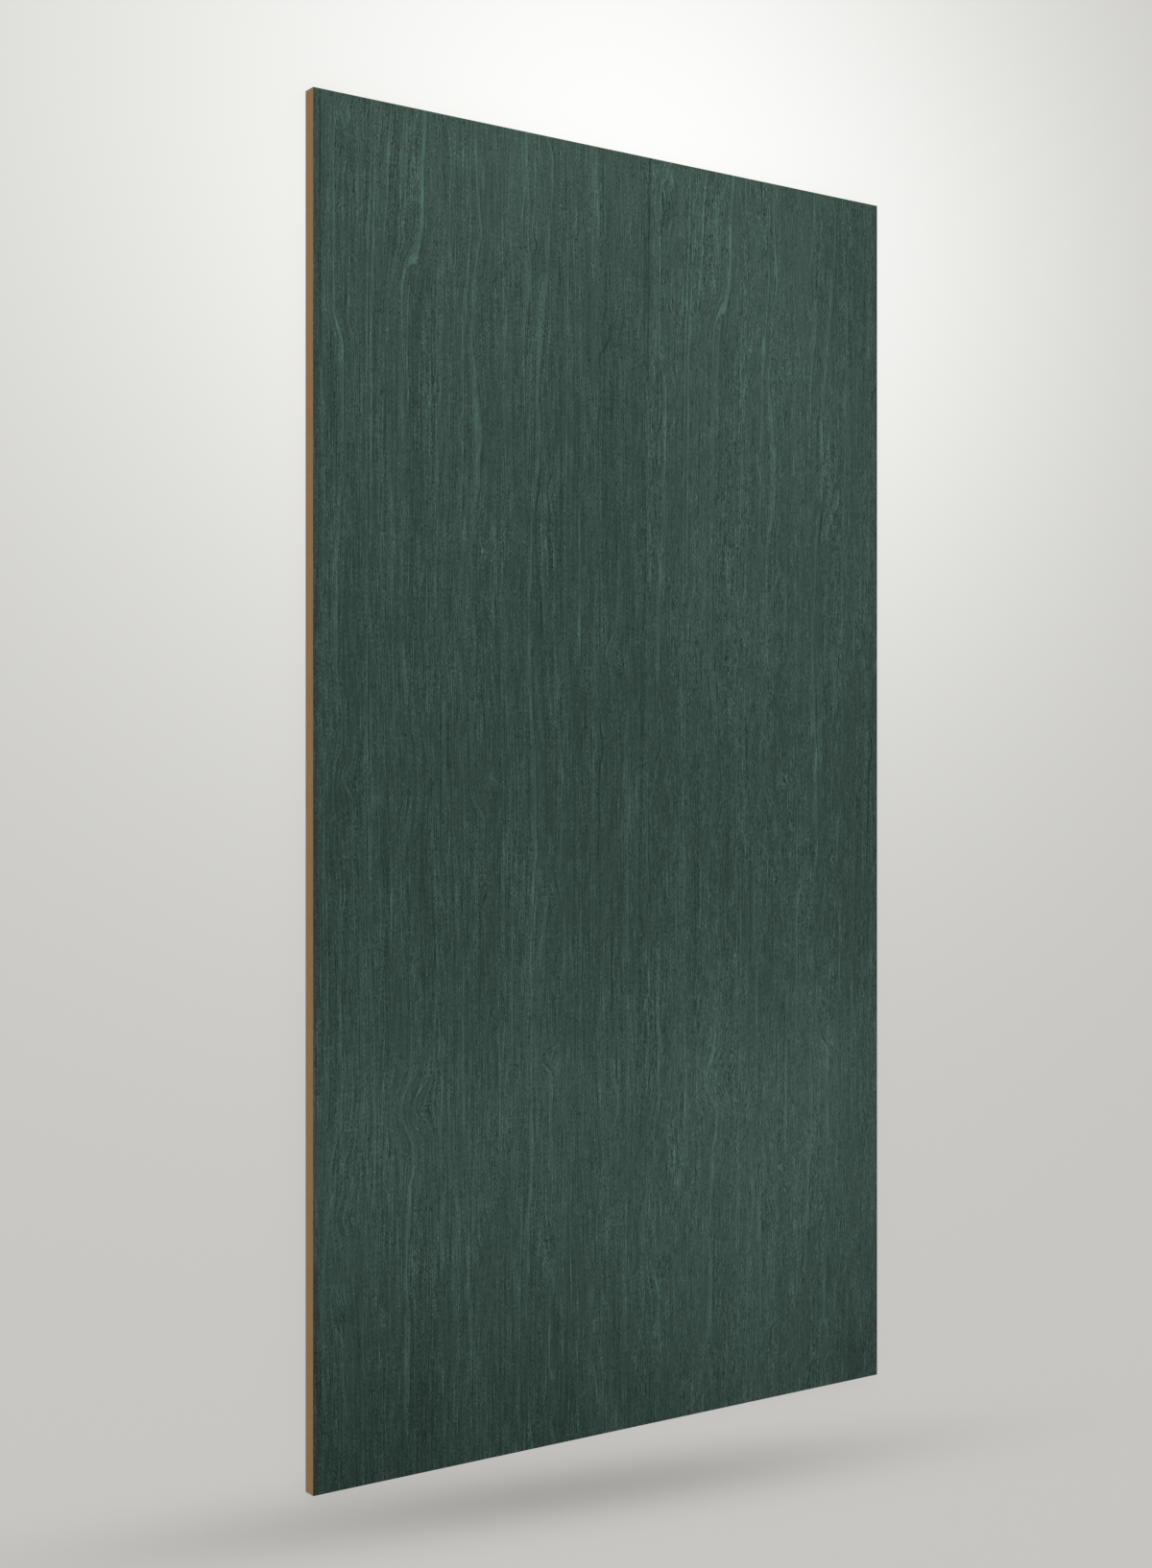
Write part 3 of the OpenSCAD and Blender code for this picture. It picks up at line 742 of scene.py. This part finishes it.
def streakField(tree, leafAcross, along, share, sheetLength, seed, uneven):
    # the streaks with their ragged sides, broken up and faded
    width, length, drift = faceVeneer["fray"]
    fray = grainNoise(tree, leafAcross, along, (width, length), seed)
    frayed = calc(tree, "MULTIPLY_ADD", fray, drift, leafAcross)
    breaks = calc(tree, "MULTIPLY_ADD", fray, faceVeneer["breaks"], 1.0)
    breaks = calc(tree, "MULTIPLY_ADD", uneven, faceVeneer["fading"], breaks)
    return calc(tree, "MULTIPLY", streakBands(tree, frayed, share, sheetLength), breaks)


def grainFields(tree, growth, along, seed):
    # the long grain, which sister leaves share, and the short fibres and pores, which they don't
    longGrain = 0.0
    shortGrain = faceVeneer["poreBalance"]
    for order, (width, length, detail, strength) in enumerate(faceVeneer["layers"]):
        shift = faceVeneer["layerSeed"] * order
        if length < faceVeneer["longGrain"]:
            layer = grainNoise(tree, growth, along, (width, length), calc(tree, "ADD", seed, shift), detail)
            shortGrain = calc(tree, "MULTIPLY_ADD", layer, strength, shortGrain)
        else:
            layer = grainNoise(tree, growth, along, (width, length), shift, detail)
            longGrain = calc(tree, "MULTIPLY_ADD", layer, strength, longGrain)
    pores = grainNoise(tree, growth, along, faceVeneer["pores"], seed)
    pores = remap(tree, pores, *faceVeneer["poreRange"])
    return longGrain, calc(tree, "MULTIPLY_ADD", pores, -faceVeneer["poreStrength"], shortGrain)


def faceMaterial():
    material, tree = freshMaterial("green dyed veneer")
    across, along, sheetWidth, sheetLength = sheetPlace(tree)
    acrossShare = calc(tree, "DIVIDE", across, sheetWidth)
    share = calc(tree, "DIVIDE", along, sheetLength)
    leafAcross, seed = leafPlace(tree, across, share)

    push, knotTone = knotField(tree, leafAcross, along)
    growth = growthField(tree, calc(tree, "ADD", leafAcross, push), share, sheetLength)
    width, length, drift = faceVeneer["wander"]
    wander = grainNoise(tree, leafAcross, along, (width, length), seed)
    growth = calc(tree, "MULTIPLY_ADD", wander, drift, growth)

    uneven = unevenField(tree, leafAcross, along, seed)
    streak = streakField(tree, leafAcross, along, share, sheetLength, seed, uneven)
    # dye cloud with painted light and shade
    value = dyeAndPaintedLightField(tree, across, along, acrossShare, share)
    value = calc(tree, "MULTIPLY_ADD", streak, faceVeneer["streakStrength"], value)

    # the grain is quieter inside a streak
    calm = calc(tree, "MULTIPLY_ADD", calc(tree, "ABSOLUTE", streak), -faceVeneer["streakQuiet"], 1.0)
    longGrain, shortGrain = grainFields(tree, growth, along, seed)
    value = calc(tree, "MULTIPLY_ADD", longGrain, calm, value)
    value = calc(tree, "MULTIPLY_ADD", shortGrain, calc(tree, "ADD", calm, uneven), value)
    value = calc(tree, "MULTIPLY_ADD", knotTone, faceVeneer["knotStrength"], value)

    tone = rampOf(tree, calc(tree, "ADD", value, faceVeneer["middleTone"]), faceVeneer["tones"])
    # the palest streaks take the dye a little yellower
    yellow = remap(tree, streak, *faceVeneer["yellowRange"])
    tone = mixColour(tree, yellow, tone, faceVeneer["yellower"], "MULTIPLY")
    woodSurface(tree, tone, faceVeneer, grainNoise(tree, leafAcross, along, faceVeneer["relief"], seed))
    return material


# Core: pressed wood fibre, bare where the board is sawn.
coreBoard = {
    "tones": [                   # from the darkest fibre to the palest
        srgb(94, 66, 38),
        srgb(123, 93, 59),
        srgb(142, 111, 75),
        srgb(159, 128, 91),
        srgb(189, 159, 120),
    ],
    "middleTone": 0.5,
    "roughness": 0.85,
    "gloss": 0.12,
    # mm along the board's plane, mm through its thickness, detail, strength, seed
    "fibre": (2.6, 0.32, 2, 0.40, 0.0),
    "speck": (0.7, 0.22, 1, 0.34, 40.0),
    "mottle": (38, 9, 2, 0.14, 80.0),
    "sawMark": (1.4, 90, 1, 0.12, 120.0),
    "skin": 0.07,                # how much darker the dense outer layers are than the middle
    "skinPower": 4.0,            # the higher, the thinner those layers
    "reliefDepth": 0.0003,
    "reliefStrength": 0.6,
}


def coreMaterial():
    material, tree = freshMaterial("sawn fibreboard")
    low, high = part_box("core_board")
    place = addNode(tree, "TexCoord").outputs["Object"]
    place = vectorCalc(tree, "MULTIPLY", place, (mmPerMetre, mmPerMetre, mmPerMetre))
    x, y, z = addNode(tree, "SeparateXYZ", {0: place}).outputs

    value = 0.0
    layers = {}
    for name in ("fibre", "speck", "mottle", "sawMark"):
        flat, deep, detail, strength, seed = coreBoard[name]
        flatX = calc(tree, "DIVIDE", x, flat)
        flatY = calc(tree, "DIVIDE", y, flat)
        level = calc(tree, "MULTIPLY_ADD", z, 1 / deep, seed)
        layers[name] = smoothNoise(tree, flatX, flatY, level, detail)
        value = calc(tree, "MULTIPLY_ADD", layers[name], strength, value)

    # 0 in the middle of the thickness and 1 at the veneers
    middle = mmPerMetre * (low.z + high.z) / 2
    half = mmPerMetre * (high.z - low.z) / 2
    depth = calc(tree, "DIVIDE", calc(tree, "ABSOLUTE", calc(tree, "SUBTRACT", z, middle)), half)
    skin = calc(tree, "POWER", depth, coreBoard["skinPower"])
    value = calc(tree, "MULTIPLY_ADD", skin, -coreBoard["skin"], value)

    tone = rampOf(tree, calc(tree, "ADD", value, coreBoard["middleTone"]), coreBoard["tones"])
    woodSurface(tree, tone, coreBoard, calc(tree, "ADD", layers["fibre"], layers["sawMark"]))
    return material


# Backing veneer: plain and undyed, straight in the grain.
backingVeneer = {
    "tones": [                   # from the darkest pore to the palest
        srgb(140, 108, 72),
        srgb(168, 136, 98),
        srgb(186, 156, 118),
        srgb(201, 174, 137),
        srgb(218, 194, 160),
    ],
    "middleTone": 0.5,
    "roughness": 0.7,
    "gloss": 0.15,
    "wander": (120, 900, 6),     # mm across, mm along, mm of drift
    "wanderSeed": 50.0,
    "layers": [                  # mm across, mm along, detail, strength
        (60, 2500, 2, 0.22),
        (9, 1500, 2, 0.20),
        (1.8, 700, 1, 0.26),
        (1.0, 30, 0, 0.22),
    ],
    "firstSeed": 60.0,
    "layerSeed": 9.1,            # from one layer to the next
    "pores": (0.8, 9),
    "poreSeed": 55.0,
    "poreRange": (0.12, 0.25),
    "poreStrength": 0.30,
}


def backingMaterial():
    material, tree = freshMaterial("plain undyed veneer")
    across, along = sheetPlace(tree)[:2]
    width, length, drift = backingVeneer["wander"]
    wander = grainNoise(tree, across, along, (width, length), backingVeneer["wanderSeed"])
    growth = calc(tree, "MULTIPLY_ADD", wander, drift, across)
    value = 0.0
    for order, (width, length, detail, strength) in enumerate(backingVeneer["layers"]):
        seed = backingVeneer["firstSeed"] + backingVeneer["layerSeed"] * order
        layer = grainNoise(tree, growth, along, (width, length), seed, detail)
        value = calc(tree, "MULTIPLY_ADD", layer, strength, value)
    pores = grainNoise(tree, growth, along, backingVeneer["pores"], backingVeneer["poreSeed"])
    pores = remap(tree, pores, *backingVeneer["poreRange"])
    value = calc(tree, "MULTIPLY_ADD", pores, -backingVeneer["poreStrength"], value)
    tone = rampOf(tree, calc(tree, "ADD", value, backingVeneer["middleTone"]), backingVeneer["tones"])
    woodSurface(tree, tone, backingVeneer)
    return material


finishes = {
    "core_board": coreMaterial,
    "face_veneer": faceMaterial,
    "backing_veneer": backingMaterial,
}

bpy.context.scene.view_settings.view_transform = "Standard"
placeCamera(cadBox[1].z)
layFloor()
lightStudio()
for node, makeMaterial in finishes.items():
    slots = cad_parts[node].data.materials
    slots.clear()
    slots.append(makeMaterial())
    print(node, "finished in", slots[0].name)
